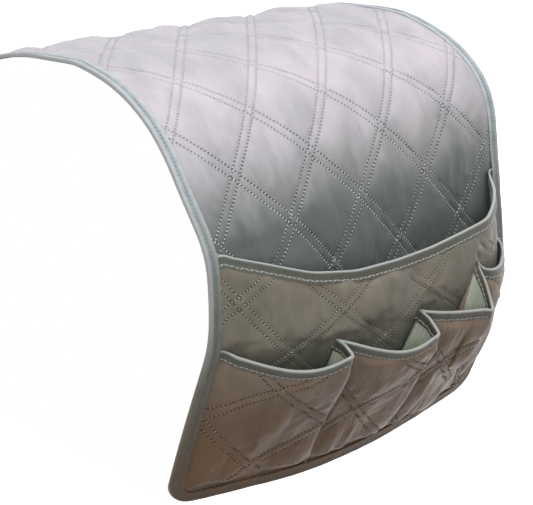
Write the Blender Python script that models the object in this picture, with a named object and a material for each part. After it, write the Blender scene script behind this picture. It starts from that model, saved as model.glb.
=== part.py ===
"""Sofa armrest organizer: a quilted cover that hangs over an armrest, with a wide magazine
pocket on its front half and a strip of four remote pockets sewn over that pocket.

Run it with blender --background --python part.py, or from the text editor. Metres, +Z up.
The origin is on the underside of the cover where it lies flat on top of the armrest, +X runs
across the cover and -Y is the pocket side. Cloth is placed by x, its distance across, and by
s, its distance along the cloth from the top of the armrest, towards the pockets when positive.
"""

from math import cos, pi, radians, sin, sqrt

import bmesh
import bpy
from mathutils import Vector

MM = 0.001

# The cover, laid flat
COVER_WIDTH = 330 * MM
FRONT_LENGTH = 455 * MM
BACK_LENGTH = 445 * MM
CORNER_RADIUS = 18 * MM

# How the cover hangs: place along each half as a share of that half, then the cloth's angle
# below level at its left and at its right edge, in degrees
FRONT_HANG_SHARES = (0, 0.053, 0.079, 0.147, 0.218, 0.275, 0.33, 0.378, 0.429, 0.475, 0.521,
                     0.56, 0.626, 0.67, 0.703, 0.758, 0.846, 1)
FRONT_LEFT_ANGLES = (0, 0, 10, 16, 28, 39, 51, 59, 57, 57, 76, 90, 96, 108, 116, 117, 116, 114)
FRONT_RIGHT_ANGLES = (0, 0, 3.5, 15, 23, 33, 47, 67, 84, 87, 87, 86, 86, 91, 96, 103, 113, 119)
BACK_HANG_SHARES = (0, 0.054, 0.09, 0.171, 0.247, 0.337, 0.427, 0.483, 1)
BACK_LEFT_ANGLES = (0, 0, 4, 9, 25, 55, 86, 91, 90)
BACK_RIGHT_ANGLES = (0, 0, 10, 13, 27, 55, 84, 90, 90)
# Between its edges the lower front hangs straighter, which bows the hem out
BELLY_ANGLE = 9
BELLY_START_SHARE = 0.6
BELLY_FULL_SHARE = 0.7
BELLY_SKEW_SHARE = 0.4

# Layers of the cover, and the gap left between layers that touch
CLEAR = 0.3 * MM
BACKING_THICKNESS = 0.5 * MM
QUILT_THICKNESS = 1.0 * MM
QUILT_CROWN = 3.4 * MM

# Diamond quilting of the cover, with one crossing measured from the left edge and the top
DIAMOND_WIDTH = 75.3 * MM
DIAMOND_LENGTH = 90 * MM
CROSSING_FROM_LEFT = 50 * MM
CROSSING_FROM_TOP = 179 * MM

# Tape sewn round the whole edge
TAPE_WIDTH = 12 * MM
TAPE_THICKNESS = 0.6 * MM
TAPE_RISE = 8 * MM

# Pockets: cloth, rim tape and quilting
LINING_THICKNESS = 0.3 * MM
POCKET_QUILT_THICKNESS = 0.6 * MM
POCKET_CROWN = 2.4 * MM
RIM_TAPE_WIDTH = 9 * MM
RIM_TAPE_THICKNESS = 0.4 * MM
SEAM_ROOM = 0.7 * MM
POCKET_DIAMOND_WIDTH = 100 * MM
POCKET_DIAMOND_HEIGHT = 68 * MM
POCKET_CROSSING_FROM_LEFT = 114 * MM

# The magazine pocket's mouth, and how far a magazine pushes its front out and down, from left
# to right as shares of the width inside the edge tape
MAGAZINE_MOUTH = 237 * MM
MAGAZINE_DEPTH = 32 * MM
MAGAZINE_SAG = 34 * MM
MAGAZINE_ACROSS_SHARES = (0, 0.11, 0.24, 0.37, 0.5, 0.63, 0.76, 0.87, 0.95, 1)
MAGAZINE_DEPTH_SHARES = (0, 0.28, 0.56, 0.78, 0.91, 0.97, 1, 0.92, 0.55, 0)
MAGAZINE_SAG_SHARES = (0, 0.35, 0.78, 0.98, 1, 0.97, 0.86, 0.8, 0.5, 0)

# The remote pockets: seams measured from the left edge, how far each pocket stands out
# beside its right seam and droops, and how far its seam and its free corner are raised
POCKET_SEAMS = (105 * MM, 189 * MM, 255 * MM)
POCKET_DEPTHS = (25 * MM, 26 * MM, 25 * MM, 13 * MM)
POCKET_DROOPS = (30 * MM, 27 * MM, 6 * MM, 12 * MM)
SEAM_LIFTS = (3 * MM, 8 * MM, 40 * MM)
CORNER_LIFTS = (-2 * MM, 0 * MM, -3 * MM)
TIP_RETURN = 7 * MM
TIP_ROUND = 4 * MM
GUSSET_LEAN = 2 * MM
OPENING_POWER = 0.65
TIP_ROUND_SHARE = 0.9
GUSSET_MIDDLE_SHARE = 0.45

LEAST_CELL = 6 * MM
CORNER_STEPS = 6
HALF = 0.5
QUARTER = 4
ACROSS = Vector((1, 0, 0))

HALF_WIDTH = COVER_WIDTH * HALF
EDGE_ROOM = TAPE_THICKNESS + CLEAR
CLOTH_EDGE = HALF_WIDTH - EDGE_ROOM
TAPE_LINE = HALF_WIDTH - TAPE_WIDTH - CLEAR
FRONT_CLOTH = FRONT_LENGTH - EDGE_ROOM
BACK_CLOTH = EDGE_ROOM - BACK_LENGTH
FRONT_LINE = FRONT_LENGTH - TAPE_WIDTH - CLEAR
BACK_LINE = TAPE_WIDTH + CLEAR - BACK_LENGTH
REMOTE_MOUTH = MAGAZINE_MOUTH + POCKET_DIAMOND_HEIGHT
QUILT_UNDER = BACKING_THICKNESS + CLEAR
COVER_TOP = QUILT_UNDER + QUILT_THICKNESS
TAPE_TOP = COVER_TOP + CLEAR + TAPE_THICKNESS
RIM_ROOM = CLEAR + RIM_TAPE_THICKNESS
POCKET_TOP = LINING_THICKNESS + CLEAR + POCKET_QUILT_THICKNESS
PANEL_BASE = COVER_TOP + CLEAR + RIM_ROOM
STRIP_BASE = POCKET_TOP + CLEAR + RIM_ROOM + SEAM_ROOM
PANEL_TAPE_TOP = PANEL_BASE + POCKET_TOP + RIM_ROOM + CLEAR + TAPE_THICKNESS
STRIP_TAPE_TOP = PANEL_TAPE_TOP + STRIP_BASE
COVER_CELL = (DIAMOND_WIDTH / QUARTER, DIAMOND_LENGTH / QUARTER)
POCKET_CELL = (POCKET_DIAMOND_WIDTH / QUARTER, POCKET_DIAMOND_HEIGHT / QUARTER)


def clear_scene():
    for obj in list(bpy.data.objects):
        bpy.data.objects.remove(obj, do_unlink=True)


def make_material(name, color, roughness, metallic=0.0):
    material = bpy.data.materials.new(name)
    material.use_nodes = True
    shader = material.node_tree.nodes["Principled BSDF"]
    shader.inputs["Base Color"].default_value = (*color, 1.0)
    shader.inputs["Roughness"].default_value = roughness
    shader.inputs["Metallic"].default_value = metallic
    material.diffuse_color = (*color, 1.0)
    return material


def between(value, places, amounts):
    """Read amounts off a line drawn through places, held level past its ends."""
    if value <= places[0]:
        return amounts[0]
    for low, high, start, end in zip(places, places[1:], amounts, amounts[1:]):
        if value <= high:
            return start + (end - start) * (value - low) / (high - low)
    return amounts[-1]


def belly(x, share):
    """Angle by which the middle of the lower front hangs straighter than its edges."""
    across = max(-1, min(1, x / HALF_WIDTH))
    amount = between(share, (BELLY_START_SHARE, BELLY_FULL_SHARE), (0, radians(BELLY_ANGLE)))
    return amount * (1 - across * across) * (1 - BELLY_SKEW_SHARE * across)


def hang(x, s):
    """The hanging cloth's y, z and angle below level, added up arc by arc from the top."""
    front = s >= 0
    length = FRONT_LENGTH if front else BACK_LENGTH
    shares = FRONT_HANG_SHARES if front else BACK_HANG_SHARES
    left = FRONT_LEFT_ANGLES if front else BACK_LEFT_ANGLES
    right = FRONT_RIGHT_ANGLES if front else BACK_RIGHT_ANGLES
    weight = x / COVER_WIDTH + HALF
    distance = abs(s)
    out = down = angle = 0.0
    before = None
    for share, a, b in zip(shares, left, right):
        knot = share * length
        turn = radians(a + (b - a) * weight) - (belly(x, share) if front else 0)
        if before is not None:
            run = knot - before[0]
            part = min(distance, knot) - before[0]
            angle = before[1] + (turn - before[1]) * part / run
            middle = (before[1] + angle) * HALF
            bend = (angle - before[1]) * HALF
            chord = part * (sin(bend) / bend if bend else 1)
            out += chord * cos(middle)
            down += chord * sin(middle)
            if distance <= knot:
                break
        before = (knot, turn)
    return (-out if front else out), -down, (angle if front else -angle)


def lattice_lines(start, step, low, high):
    """Lattice places between two limits, with the count of steps from the start."""
    first = int((low + LEAST_CELL - start) / step) - 1
    last = int((high - start) / step) + 1
    return [(start + k * step, k) for k in range(first, last + 1)
            if low + LEAST_CELL <= start + k * step <= high - LEAST_CELL]


# Columns and rows of the cloth, as pairs of place and lattice count
CROSS_X = CROSSING_FROM_LEFT - HALF_WIDTH
POCKET_CROSS_X = POCKET_CROSSING_FROM_LEFT - HALF_WIDTH


def with_edges(lines, low, low_line, high_line, high):
    first, last = lines[0][1], lines[-1][1]
    return ([(low, first - 2), (low_line, first - 1)] + lines
            + [(high_line, last + 1), (high, last + 2)])


COVER_COLUMNS = with_edges(lattice_lines(CROSS_X, COVER_CELL[0], -TAPE_LINE, TAPE_LINE),
                           -CLOTH_EDGE, -TAPE_LINE, TAPE_LINE, CLOTH_EDGE)
UPPER_ROWS = lattice_lines(CROSSING_FROM_TOP, COVER_CELL[1], BACK_LINE, MAGAZINE_MOUTH)
LOWER_ROWS = [(MAGAZINE_MOUTH, UPPER_ROWS[-1][1] + 1)] + [
    (place, UPPER_ROWS[-1][1] + 1 + k) for place, k in
    lattice_lines(MAGAZINE_MOUTH, POCKET_CELL[1], MAGAZINE_MOUTH, FRONT_LINE)]
COVER_ROWS = with_edges(UPPER_ROWS + LOWER_ROWS, BACK_CLOTH, BACK_LINE, FRONT_LINE, FRONT_CLOTH)
ROW_PLACES = [place for place, k in COVER_ROWS]


def exact_point(x, s, lift):
    y, z, angle = hang(x, s)
    rise = lift - TAPE_TOP
    return Vector((x, y - rise * sin(angle), TAPE_TOP + z + rise * cos(angle)))


def cover_point(x, s, lift):
    """A point lifted off the cover's underside. It lies on the straight run between the
    cover's rows, so that every layer and tape stays parallel to the cover's cloth."""
    for low, high in zip(ROW_PLACES, ROW_PLACES[1:]):
        if s <= high:
            break
    start, end = exact_point(x, low, lift), exact_point(x, high, lift)
    return start.lerp(end, (s - low) / (high - low))


def magazine_point(x, s):
    """The magazine pocket's innermost face, pushed out and down by what it holds."""
    share = (x + TAPE_LINE) / (TAPE_LINE + TAPE_LINE)
    down = max(0, min(1, (s - MAGAZINE_MOUTH) / (FRONT_LINE - MAGAZINE_MOUTH)))
    fade = cos(pi * HALF * down)
    out = MAGAZINE_DEPTH * between(share, MAGAZINE_ACROSS_SHARES, MAGAZINE_DEPTH_SHARES) * fade
    sag = MAGAZINE_SAG * between(share, MAGAZINE_ACROSS_SHARES, MAGAZINE_SAG_SHARES) * fade
    return cover_point(x, s, PANEL_BASE) + Vector((0, -out, -sag * (1 - down)))


def rounded_width(x, s):
    """Draw a column in near a hem, where the cloth's corners are rounded."""
    end = min(FRONT_CLOTH - s, s - BACK_CLOTH)
    radius = CORNER_RADIUS - EDGE_ROOM
    if end >= radius:
        return x
    edge = CLOTH_EDGE - radius + sqrt(max(0, radius * radius - (radius - end) ** 2))
    inner = CLOTH_EDGE - radius - radius - TAPE_WIDTH
    if abs(x) <= inner:
        return x
    moved = inner + (abs(x) - inner) * (edge - inner) / (CLOTH_EDGE - inner)
    return moved if x > 0 else -moved


def outward(points, i, j):
    """Normal of a grid of points, lengthened where the cloth folds, as a mitre is. Under the
    edge tape it stays square to the tape."""
    last_i, last_j = len(points) - 1, len(points[0]) - 1
    along = points[i][min(j + 1, last_j)] - points[i][max(j - 1, 0)]
    if i < 2 or i > last_i - 2:
        return ACROSS.cross(-along).normalized()
    sides = []
    for first, second in ((i - 1, i), (i, i + 1)):
        if first >= 0 and second <= last_i:
            sides.append((points[second][j] - points[first][j]).cross(-along).normalized())
    normal = (sides[0] + sides[-1]).normalized()
    return normal / max(HALF, normal.dot(sides[0]))


def lifted(points, lift):
    """Move a grid of points out by a distance, or by a function of column and row."""
    amount = lift if callable(lift) else (lambda i, j: lift)
    return [[points[i][j] + outward(points, i, j) * amount(i, j)
             for j in range(len(points[0]))] for i in range(len(points))]


def crown(column, row):
    """Height share of the quilting: none on the stitched diamonds, full at their centres."""
    u = (column + row) * pi / QUARTER
    v = (column - row) * pi / QUARTER
    return sqrt(abs(sin(u) * sin(v)))


def add_object(name, mesh, material, collection):
    mesh.materials.append(material)
    obj = bpy.data.objects.new(name, mesh)
    collection.objects.link(obj)
    return obj


def make_sheet(name, inner, outer, counts, material, collection, coarse_inner=(), coarse_outer=()):
    """Solid cloth: a grid is laid on the inner points, split along its diamonds, extruded and
    its new side moved to the outer points. Coarse columns merge into the one before them,
    except under the front hem's tape, where the hem bows."""
    columns, rows = len(inner), len(inner[0])
    bm = bmesh.new()
    bmesh.ops.create_grid(bm, x_segments=columns - 1, y_segments=rows - 1, size=HALF)
    tag = bm.verts.layers.int.new("place")
    for vert in bm.verts:
        i = round((vert.co.x + HALF) * (columns - 1))
        j = round((vert.co.y + HALF) * (rows - 1))
        vert[tag] = i * rows + j
        vert.co = inner[i][j]
    for face in list(bm.faces):
        corners = {(vert[tag] // rows, vert[tag] % rows): vert for vert in face.verts}
        i = min(place[0] for place in corners)
        j = min(place[1] for place in corners)
        if (counts[0][i] + counts[1][j]) % 2:
            ends = (i + 1, j), (i, j + 1)
        else:
            ends = (i, j), (i + 1, j + 1)
        bmesh.utils.face_split(face, corners[ends[0]], corners[ends[1]])
    extruded = bmesh.ops.extrude_face_region(bm, geom=list(bm.faces))
    moved = {item for item in extruded["geom"] if isinstance(item, bmesh.types.BMVert)}
    sides = {}
    for vert in bm.verts:
        i, j = divmod(vert[tag], rows)
        vert.co = outer[i][j] if vert in moved else inner[i][j]
        sides[(i, j, vert in moved)] = vert
    joins = {}
    for coarse, side in ((coarse_inner, False), (coarse_outer, True)):
        for i in coarse:
            for j in range(rows - 2):
                joins[sides[(i, j, side)]] = sides[(i - 1, j, side)]
    bmesh.ops.weld_verts(bm, targetmap=joins)
    bmesh.ops.triangulate(bm, faces=[face for face in bm.faces if len(face.verts) > 3])
    bmesh.ops.recalc_face_normals(bm, faces=list(bm.faces))
    mesh = bpy.data.meshes.new(name)
    bm.to_mesh(mesh)
    bm.free()
    return add_object(name, mesh, material, collection)


def make_tape(name, sections, closed, material, collection):
    """Loft one folded tape through its sections, each eight points round a U."""
    bm = bmesh.new()
    rings = [[bm.verts.new(point) for point in section] for section in sections]
    size = len(rings[0])
    pairs = list(zip(rings, rings[1:])) + ([(rings[-1], rings[0])] if closed else [])
    for near, far in pairs:
        for k in range(size):
            bm.faces.new((near[k], near[(k + 1) % size], far[(k + 1) % size], far[k]))
    if not closed:
        for ring in (rings[0], rings[-1]):
            for a, b, c, d in ((0, 1, 6, 7), (1, 2, 5, 6), (2, 3, 4, 5)):
                bm.faces.new((ring[a], ring[b], ring[c], ring[d]))
    bmesh.ops.triangulate(bm, faces=list(bm.faces))
    bmesh.ops.recalc_face_normals(bm, faces=list(bm.faces))
    mesh = bpy.data.meshes.new(name)
    bm.to_mesh(mesh)
    bm.free()
    return add_object(name, mesh, material, collection)


def fold_section(width, low, high, thickness):
    """Eight points of a folded tape: distance in from its fold, and height."""
    return ((width, low), (0, low), (0, high), (width, high), (width, high - thickness),
            (thickness, high - thickness), (thickness, low + thickness), (width, low + thickness))


def edge_path():
    """Places round the cover's edge, each with its direction into the cloth."""
    straight_x = HALF_WIDTH - CORNER_RADIUS
    front, back = FRONT_LENGTH - CORNER_RADIUS, CORNER_RADIUS - BACK_LENGTH
    extra = [mouth - step for mouth in (MAGAZINE_MOUTH, REMOTE_MOUTH)
             for step in (TAPE_RISE, RIM_TAPE_WIDTH - TAPE_RISE + CLEAR)]
    side = sorted([place for place, k in COVER_ROWS if back < place < front]
                  + [place for place in extra if place not in ROW_PLACES])
    hem = [place for place, k in COVER_COLUMNS if abs(place) < straight_x]
    corners = ((straight_x, front, 0), (-straight_x, front, 1), (-straight_x, back, 2),
               (straight_x, back, 3))
    runs = ([(HALF_WIDTH, s, -1, 0) for s in side],
            [(x, FRONT_LENGTH, 0, -1) for x in reversed(hem)],
            [(-HALF_WIDTH, s, 1, 0) for s in reversed(side)],
            [(x, -BACK_LENGTH, 0, 1) for x in hem])
    path = []
    for run, (cx, cs, turn) in zip(runs, corners):
        path += run
        for step in range(CORNER_STEPS + 1):
            angle = (turn + step / CORNER_STEPS) * pi * HALF
            path.append((cx + CORNER_RADIUS * cos(angle), cs + CORNER_RADIUS * sin(angle),
                         -cos(angle), -sin(angle)))
    return path


def tape_height(s):
    """Top of the edge tape, raised where it also wraps the pockets' cloth."""
    places = [mouth - step for mouth in (MAGAZINE_MOUTH, REMOTE_MOUTH)
              for step in (TAPE_RISE, RIM_TAPE_WIDTH - TAPE_RISE + CLEAR)]
    return between(s, places, (TAPE_TOP, PANEL_TAPE_TOP, PANEL_TAPE_TOP, STRIP_TAPE_TOP))


def make_edge_tape(material, collection):
    sections = []
    for x, s, into_x, into_s in edge_path():
        shape = fold_section(TAPE_WIDTH, -CLEAR - TAPE_THICKNESS, tape_height(s), TAPE_THICKNESS)
        sections.append([cover_point(x + into_x * width, s + into_s * width, height)
                         for width, height in shape])
    make_tape("edge_tape", sections, True, material, collection)


def make_rim_tape(name, points, material, collection):
    """Tape folded over a pocket's mouth, laid on the first row of the pocket's own cloth."""
    shape = fold_section(RIM_TAPE_WIDTH + RIM_ROOM, -RIM_ROOM, POCKET_TOP + RIM_ROOM,
                         RIM_TAPE_THICKNESS)
    heights = {height: lifted(points, height) for width, height in shape}
    row = RIM_TAPE_WIDTH + CLEAR
    sections = [[heights[height][i][0].lerp(heights[height][i][1], (width - RIM_ROOM) / row)
                 for width, height in shape] for i in range(len(points))]
    make_tape(name, sections, False, material, collection)


def make_cover(face_material, backing_material, collection):
    columns = [k for place, k in COVER_COLUMNS]
    rows = [k for place, k in COVER_ROWS]
    mouth_row = ROW_PLACES.index(MAGAZINE_MOUTH)

    def layer(height):
        return [[cover_point(rounded_width(x, s), s, height) for s, kr in COVER_ROWS]
                for x, kc in COVER_COLUMNS]

    def crowned(i, j):
        edge = i < 2 or j < 2 or i > len(columns) - 3 or j > mouth_row
        height = 0 if edge else QUILT_CROWN * crown(columns[i], rows[j])
        return cover_point(rounded_width(COVER_COLUMNS[i][0], COVER_ROWS[j][0]),
                           COVER_ROWS[j][0], COVER_TOP + height)

    coarse = range(3, len(columns) - 3, 2)
    top = [[crowned(i, j) for j in range(len(rows))] for i in range(len(columns))]
    make_sheet("cover_quilt", layer(QUILT_UNDER), top, (columns, rows), face_material,
               collection, coarse_inner=coarse)
    make_sheet("cover_backing", layer(0), layer(BACKING_THICKNESS), (columns, rows),
               backing_material, collection, coarse_inner=coarse, coarse_outer=coarse)


def make_pocket(name, points, counts, flat, face_material, lining_material, tape_material,
                collection):
    """Lining, quilted front and rim tape of a pocket, all laid on one grid of points."""
    def top(i, j):
        if flat(i, j):
            return POCKET_TOP
        return POCKET_TOP + POCKET_CROWN * crown(counts[0][i], counts[1][j])

    make_sheet(name + "_lining", points, lifted(points, LINING_THICKNESS), counts,
               lining_material, collection)
    make_sheet(name + "_quilt", lifted(points, LINING_THICKNESS + CLEAR), lifted(points, top),
               counts, face_material, collection)
    make_rim_tape(name + "_rim_tape", points, tape_material, collection)


def pocket_rows(mouth):
    """Rows from a mouth down to the hem, with one below the rim tape."""
    under_tape = mouth + RIM_TAPE_WIDTH + CLEAR
    lines = lattice_lines(mouth, POCKET_CELL[1], mouth, FRONT_LINE)
    last = lines[-1][1]
    return [(mouth, 0), (under_tape, 0)] + lines + [(FRONT_LINE, last + 1), (FRONT_CLOTH, last + 2)]


def make_magazine_pocket(face_material, lining_material, tape_material, collection):
    columns = with_edges(lattice_lines(POCKET_CROSS_X, POCKET_CELL[0], -TAPE_LINE, TAPE_LINE),
                         -CLOTH_EDGE, -TAPE_LINE, TAPE_LINE, CLOTH_EDGE)
    rows = pocket_rows(MAGAZINE_MOUTH)
    points = [[magazine_point(rounded_width(x, s), s) for s, kr in rows] for x, kc in columns]
    counts = ([k for place, k in columns], [k + 2 for place, k in rows])

    def reach(x):
        """How far above the remote pockets' mouth their cloth lies on this pocket at x."""
        return max([LEAST_CELL] + [POCKET_CELL[1] + lift for seam, lift in
                                   zip(POCKET_SEAMS, SEAM_LIFTS)
                                   if x > seam - HALF_WIDTH - POCKET_CELL[0]])

    def flat(i, j):
        under = rows[j][0] > REMOTE_MOUTH - reach(columns[i][0])
        return i < 2 or i > len(columns) - 3 or j < 2 or under

    make_pocket("magazine_pocket", points, counts, flat, face_material, lining_material,
                tape_material, collection)


def strip_stations():
    """The remote strip from left to right: place, lattice count, depth, slide down the cloth
    behind and droop. Each pocket opens out from its left seam to a rounded tip, and turns
    straight back to its right seam."""
    seams = [-TAPE_LINE] + [seam - HALF_WIDTH for seam in POCKET_SEAMS] + [TAPE_LINE]
    lifts = (0,) + SEAM_LIFTS + (0,)
    corner_lifts = CORNER_LIFTS + (0,)
    lines = lattice_lines(POCKET_CROSS_X, POCKET_CELL[0], -TAPE_LINE, TAPE_LINE)
    stations = [(-CLOTH_EDGE, None, 0, 0, 0), (-TAPE_LINE, None, 0, 0, 0)]
    for n, (left, right) in enumerate(zip(seams, seams[1:])):
        depth, droop, last = POCKET_DEPTHS[n], POCKET_DROOPS[n], n == len(POCKET_DEPTHS) - 1
        inside = [line for line in lines
                  if left + LEAST_CELL < line[0] < right - TIP_RETURN - LEAST_CELL]
        for x, k in inside:
            share = (x - left) / (right - left)
            slide = -(lifts[n] + (corner_lifts[n] - lifts[n]) * share)
            opened = sin(pi * share) if last else share ** OPENING_POWER
            stations.append((x, k, depth * opened, slide, droop * sin(pi * share) * HALF))
        low, high = -corner_lifts[n], -lifts[n + 1]
        middle = high + (low - high) * GUSSET_MIDDLE_SHARE
        drooped = droop * sin(pi * TIP_RETURN / (right - left)) * HALF
        if not last:
            stations += [
                (right - TIP_RETURN, None, depth, low, drooped),
                (right - TIP_ROUND, None, depth * TIP_ROUND_SHARE, low, drooped),
                (right - GUSSET_LEAN, None, depth * GUSSET_MIDDLE_SHARE, middle, 0),
                (right, None, 0, high, 0)]
    return stations + [(TAPE_LINE, None, 0, 0, 0), (CLOTH_EDGE, None, 0, 0, 0)]


def make_remote_pockets(face_material, lining_material, tape_material, collection):
    stations = strip_stations()
    rows = pocket_rows(REMOTE_MOUTH)

    def base(x, s):
        step = CLEAR
        across = ACROSS
        if abs(x) < TAPE_LINE - step:
            across = magazine_point(x + step, s) - magazine_point(x - step, s)
        along = magazine_point(x, s + step) - magazine_point(x, s - step)
        return magazine_point(x, s) + across.cross(-along).normalized() * STRIP_BASE

    def station_point(station, s):
        x, k, depth, slide, droop = station
        down = max(0, min(1, (s - REMOTE_MOUTH) / (FRONT_LINE - REMOTE_MOUTH)))
        fade = cos(pi * HALF * down)
        back = base(rounded_width(x, s), s + slide * (1 - down))
        return back + Vector((0, -depth * fade, -droop * fade * (1 - down)))

    points = [[station_point(station, s) for s, kr in rows] for station in stations]
    counts = ([i if station[1] is None else station[1] + 2 for i, station in enumerate(stations)],
              [k for place, k in rows])

    def flat(i, j):
        return stations[i][1] is None or j < 2 or rows[j][0] > FRONT_LINE - CLEAR

    make_pocket("remote_pockets", points, counts, flat, face_material, lining_material,
                tape_material, collection)


def main():
    clear_scene()
    collection = bpy.data.collections.new("sofa_armrest_organizer")
    bpy.context.scene.collection.children.link(collection)
    cover_cloth = make_material("cover_cloth", (0.56, 0.55, 0.57), 0.5)
    backing_cloth = make_material("backing_cloth", (0.45, 0.47, 0.47), 0.8)
    pocket_cloth = make_material("pocket_cloth", (0.22, 0.18, 0.155), 0.45)
    panel_cloth = make_material("panel_cloth", (0.24, 0.21, 0.18), 0.45)
    lining_cloth = make_material("lining_cloth", (0.44, 0.47, 0.38), 0.8)
    panel_lining_cloth = make_material("panel_lining_cloth", (0.42, 0.45, 0.37), 0.8)
    edge_cloth = make_material("edge_cloth", (0.3, 0.35, 0.36), 0.55)
    magazine_rim_cloth = make_material("magazine_rim_cloth", (0.25, 0.28, 0.27), 0.5)
    remote_rim_cloth = make_material("remote_rim_cloth", (0.26, 0.3, 0.29), 0.5)
    make_cover(cover_cloth, backing_cloth, collection)
    make_edge_tape(edge_cloth, collection)
    make_magazine_pocket(panel_cloth, panel_lining_cloth, magazine_rim_cloth, collection)
    make_remote_pockets(pocket_cloth, lining_cloth, remote_rim_cloth, collection)


main()
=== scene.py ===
"""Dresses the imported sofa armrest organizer: quilted satin cover with folded edge tape, a
magazine pocket and four remote pockets, lit in a plain studio.

Metres, +Z up. Cloth is placed by x, its distance across the cover, and by s, its distance
along the cloth from the top of the armrest, towards the pockets when positive.
"""

from math import cos, inf, pi, radians, sin, sqrt

import bpy
import numpy as np
from mathutils import Matrix, Vector


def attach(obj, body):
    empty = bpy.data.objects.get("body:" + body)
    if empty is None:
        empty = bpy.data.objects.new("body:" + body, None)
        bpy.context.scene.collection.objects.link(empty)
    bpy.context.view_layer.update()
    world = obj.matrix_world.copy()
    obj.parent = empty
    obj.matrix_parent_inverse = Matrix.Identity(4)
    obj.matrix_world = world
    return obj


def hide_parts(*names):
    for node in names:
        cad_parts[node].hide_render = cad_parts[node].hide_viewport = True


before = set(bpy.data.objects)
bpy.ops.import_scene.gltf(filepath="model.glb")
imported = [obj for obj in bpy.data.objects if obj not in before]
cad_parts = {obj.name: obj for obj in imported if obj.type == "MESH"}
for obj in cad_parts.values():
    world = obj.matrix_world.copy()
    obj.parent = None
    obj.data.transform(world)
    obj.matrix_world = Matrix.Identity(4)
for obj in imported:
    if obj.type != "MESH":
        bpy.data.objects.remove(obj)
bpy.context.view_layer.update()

MM = 0.001

# The cover, laid flat
COVER_WIDTH = 330 * MM
FRONT_LENGTH = 455 * MM
BACK_LENGTH = 445 * MM
CORNER_RADIUS = 18 * MM

# How the cover hangs: shares of each half, and the cloth's angle there at its left and right
FRONT_HANG_SHARES = (0, 0.053, 0.079, 0.147, 0.218, 0.275, 0.33, 0.378, 0.429, 0.475, 0.521,
                     0.56, 0.626, 0.67, 0.703, 0.758, 0.846, 1)
FRONT_LEFT_ANGLES = (0, 0, 10, 16, 28, 39, 51, 59, 57, 57, 76, 90, 96, 108, 116, 117, 116, 114)
FRONT_RIGHT_ANGLES = (0, 0, 3.5, 15, 23, 33, 47, 67, 84, 87, 87, 86, 86, 91, 96, 103, 113, 119)
BACK_HANG_SHARES = (0, 0.054, 0.09, 0.171, 0.247, 0.337, 0.427, 0.483, 1)
BACK_LEFT_ANGLES = (0, 0, 4, 9, 25, 55, 86, 91, 90)
BACK_RIGHT_ANGLES = (0, 0, 10, 13, 27, 55, 84, 90, 90)
BELLY_ANGLE = 9
BELLY_START_SHARE = 0.6
BELLY_FULL_SHARE = 0.7
BELLY_SKEW_SHARE = 0.4
# The hem's left corner is pulled down: how far, how far in from the left edge this reaches,
# and from where along the cloth
CORNER_DROP = 12.5 * MM
CORNER_DROP_REACH = 80 * MM
CORNER_DROP_START = 305 * MM

# Layers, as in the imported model
CLEAR = 0.3 * MM
BACKING_THICKNESS = 0.5 * MM
QUILT_THICKNESS = 1.0 * MM
QUILT_CROWN = 3.8 * MM
TAPE_WIDTH = 12 * MM
TAPE_THICKNESS = 0.6 * MM
TAPE_RISE = 8 * MM
LINING_THICKNESS = 0.3 * MM
POCKET_QUILT_THICKNESS = 0.6 * MM
POCKET_CROWN = 2.8 * MM
RIM_TAPE_WIDTH = 9 * MM
RIM_TAPE_THICKNESS = 0.4 * MM
RIM_COVERED = 0.8 * RIM_TAPE_WIDTH
SEAM_ROOM = 0.7 * MM
# What scene.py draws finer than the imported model: the edge tape is narrower, and presses the
# layers together to a share of their height
SEWN_TAPE_WIDTH = 9.5 * MM
EDGE_PRESS = 0.28
EDGE_PRESS_REACH = 9 * MM
FADE_REACH = 8 * MM
CLOTH_STEP = 2 * MM
LINING_STEP = 5 * MM
# Where a pocket's lining shows, over the inner face of its cloth
LINING_LIFT = 0.1 * MM

# Diamond quilting: width, length, one crossing across and along, and how far rows drop
COVER_DIAMONDS = (75.3 * MM, 90 * MM, -115 * MM, 179 * MM, 0.05)
PANEL_DIAMONDS = (87 * MM, 86 * MM, -54.8 * MM, 271 * MM, 0.0)
STRIP_DIAMONDS = (96 * MM, 93 * MM, -62 * MM, 404.8 * MM, -0.229)
# How far each remote pocket's quilting is shifted, across and along
STRIP_SHIFTS = ((0, 0), (-33 * MM, 5 * MM), (-21.6 * MM, -46.4 * MM), (0, 0))
ROW_APART = 6.8 * MM
DOT_PITCH = 3.1 * MM
DOT_RADIUS = 0.9 * MM
# Relief of the cloth: a ridge between two rows, a groove along each row, puckers that run off it
PILLOW_POWER = 0.5
RIDGE_HEIGHT = 1.1 * MM
GROOVE_DEPTH = 0.25 * MM
GROOVE_WIDTH = 1.1 * MM
PUCKER_HEIGHT = 0.8 * MM
PUCKER_PITCH = 5.5 * MM
PUCKER_START = 3 * MM
PUCKER_REACH = 12 * MM
# Pockets' rows are pulled in no deeper than this
ROW_SINK = 0.9 * MM
# Folds: their width, the length along which they lean by one width, their length and height
LONG_FOLDS = (9 * MM, 70 * MM, 46 * MM, 1.5 * MM)
FINE_FOLDS = (4.5 * MM, -40 * MM, 25 * MM, 0.6 * MM)
PANEL_FOLDS = (24 * MM, 60 * MM, 38 * MM, 2.8 * MM)
STRIP_FOLDS = (20 * MM, 70 * MM, 44 * MM, 2.4 * MM)
# The same for the tapes and the cover's lining, which wave without leaning
EDGE_GATHER = (7 * MM, inf, 6 * MM, 0.22 * MM)
EDGE_WAVER = (35 * MM, inf, inf, 0.35 * MM)
RIM_GATHER = (8 * MM, inf, 5 * MM, 0.2 * MM)
BACK_WAVES = (18 * MM, inf, 25 * MM, 0.2 * MM)
BACK_LEVEL = 0.25 * MM
NOISE_CELLS = 97

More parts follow.
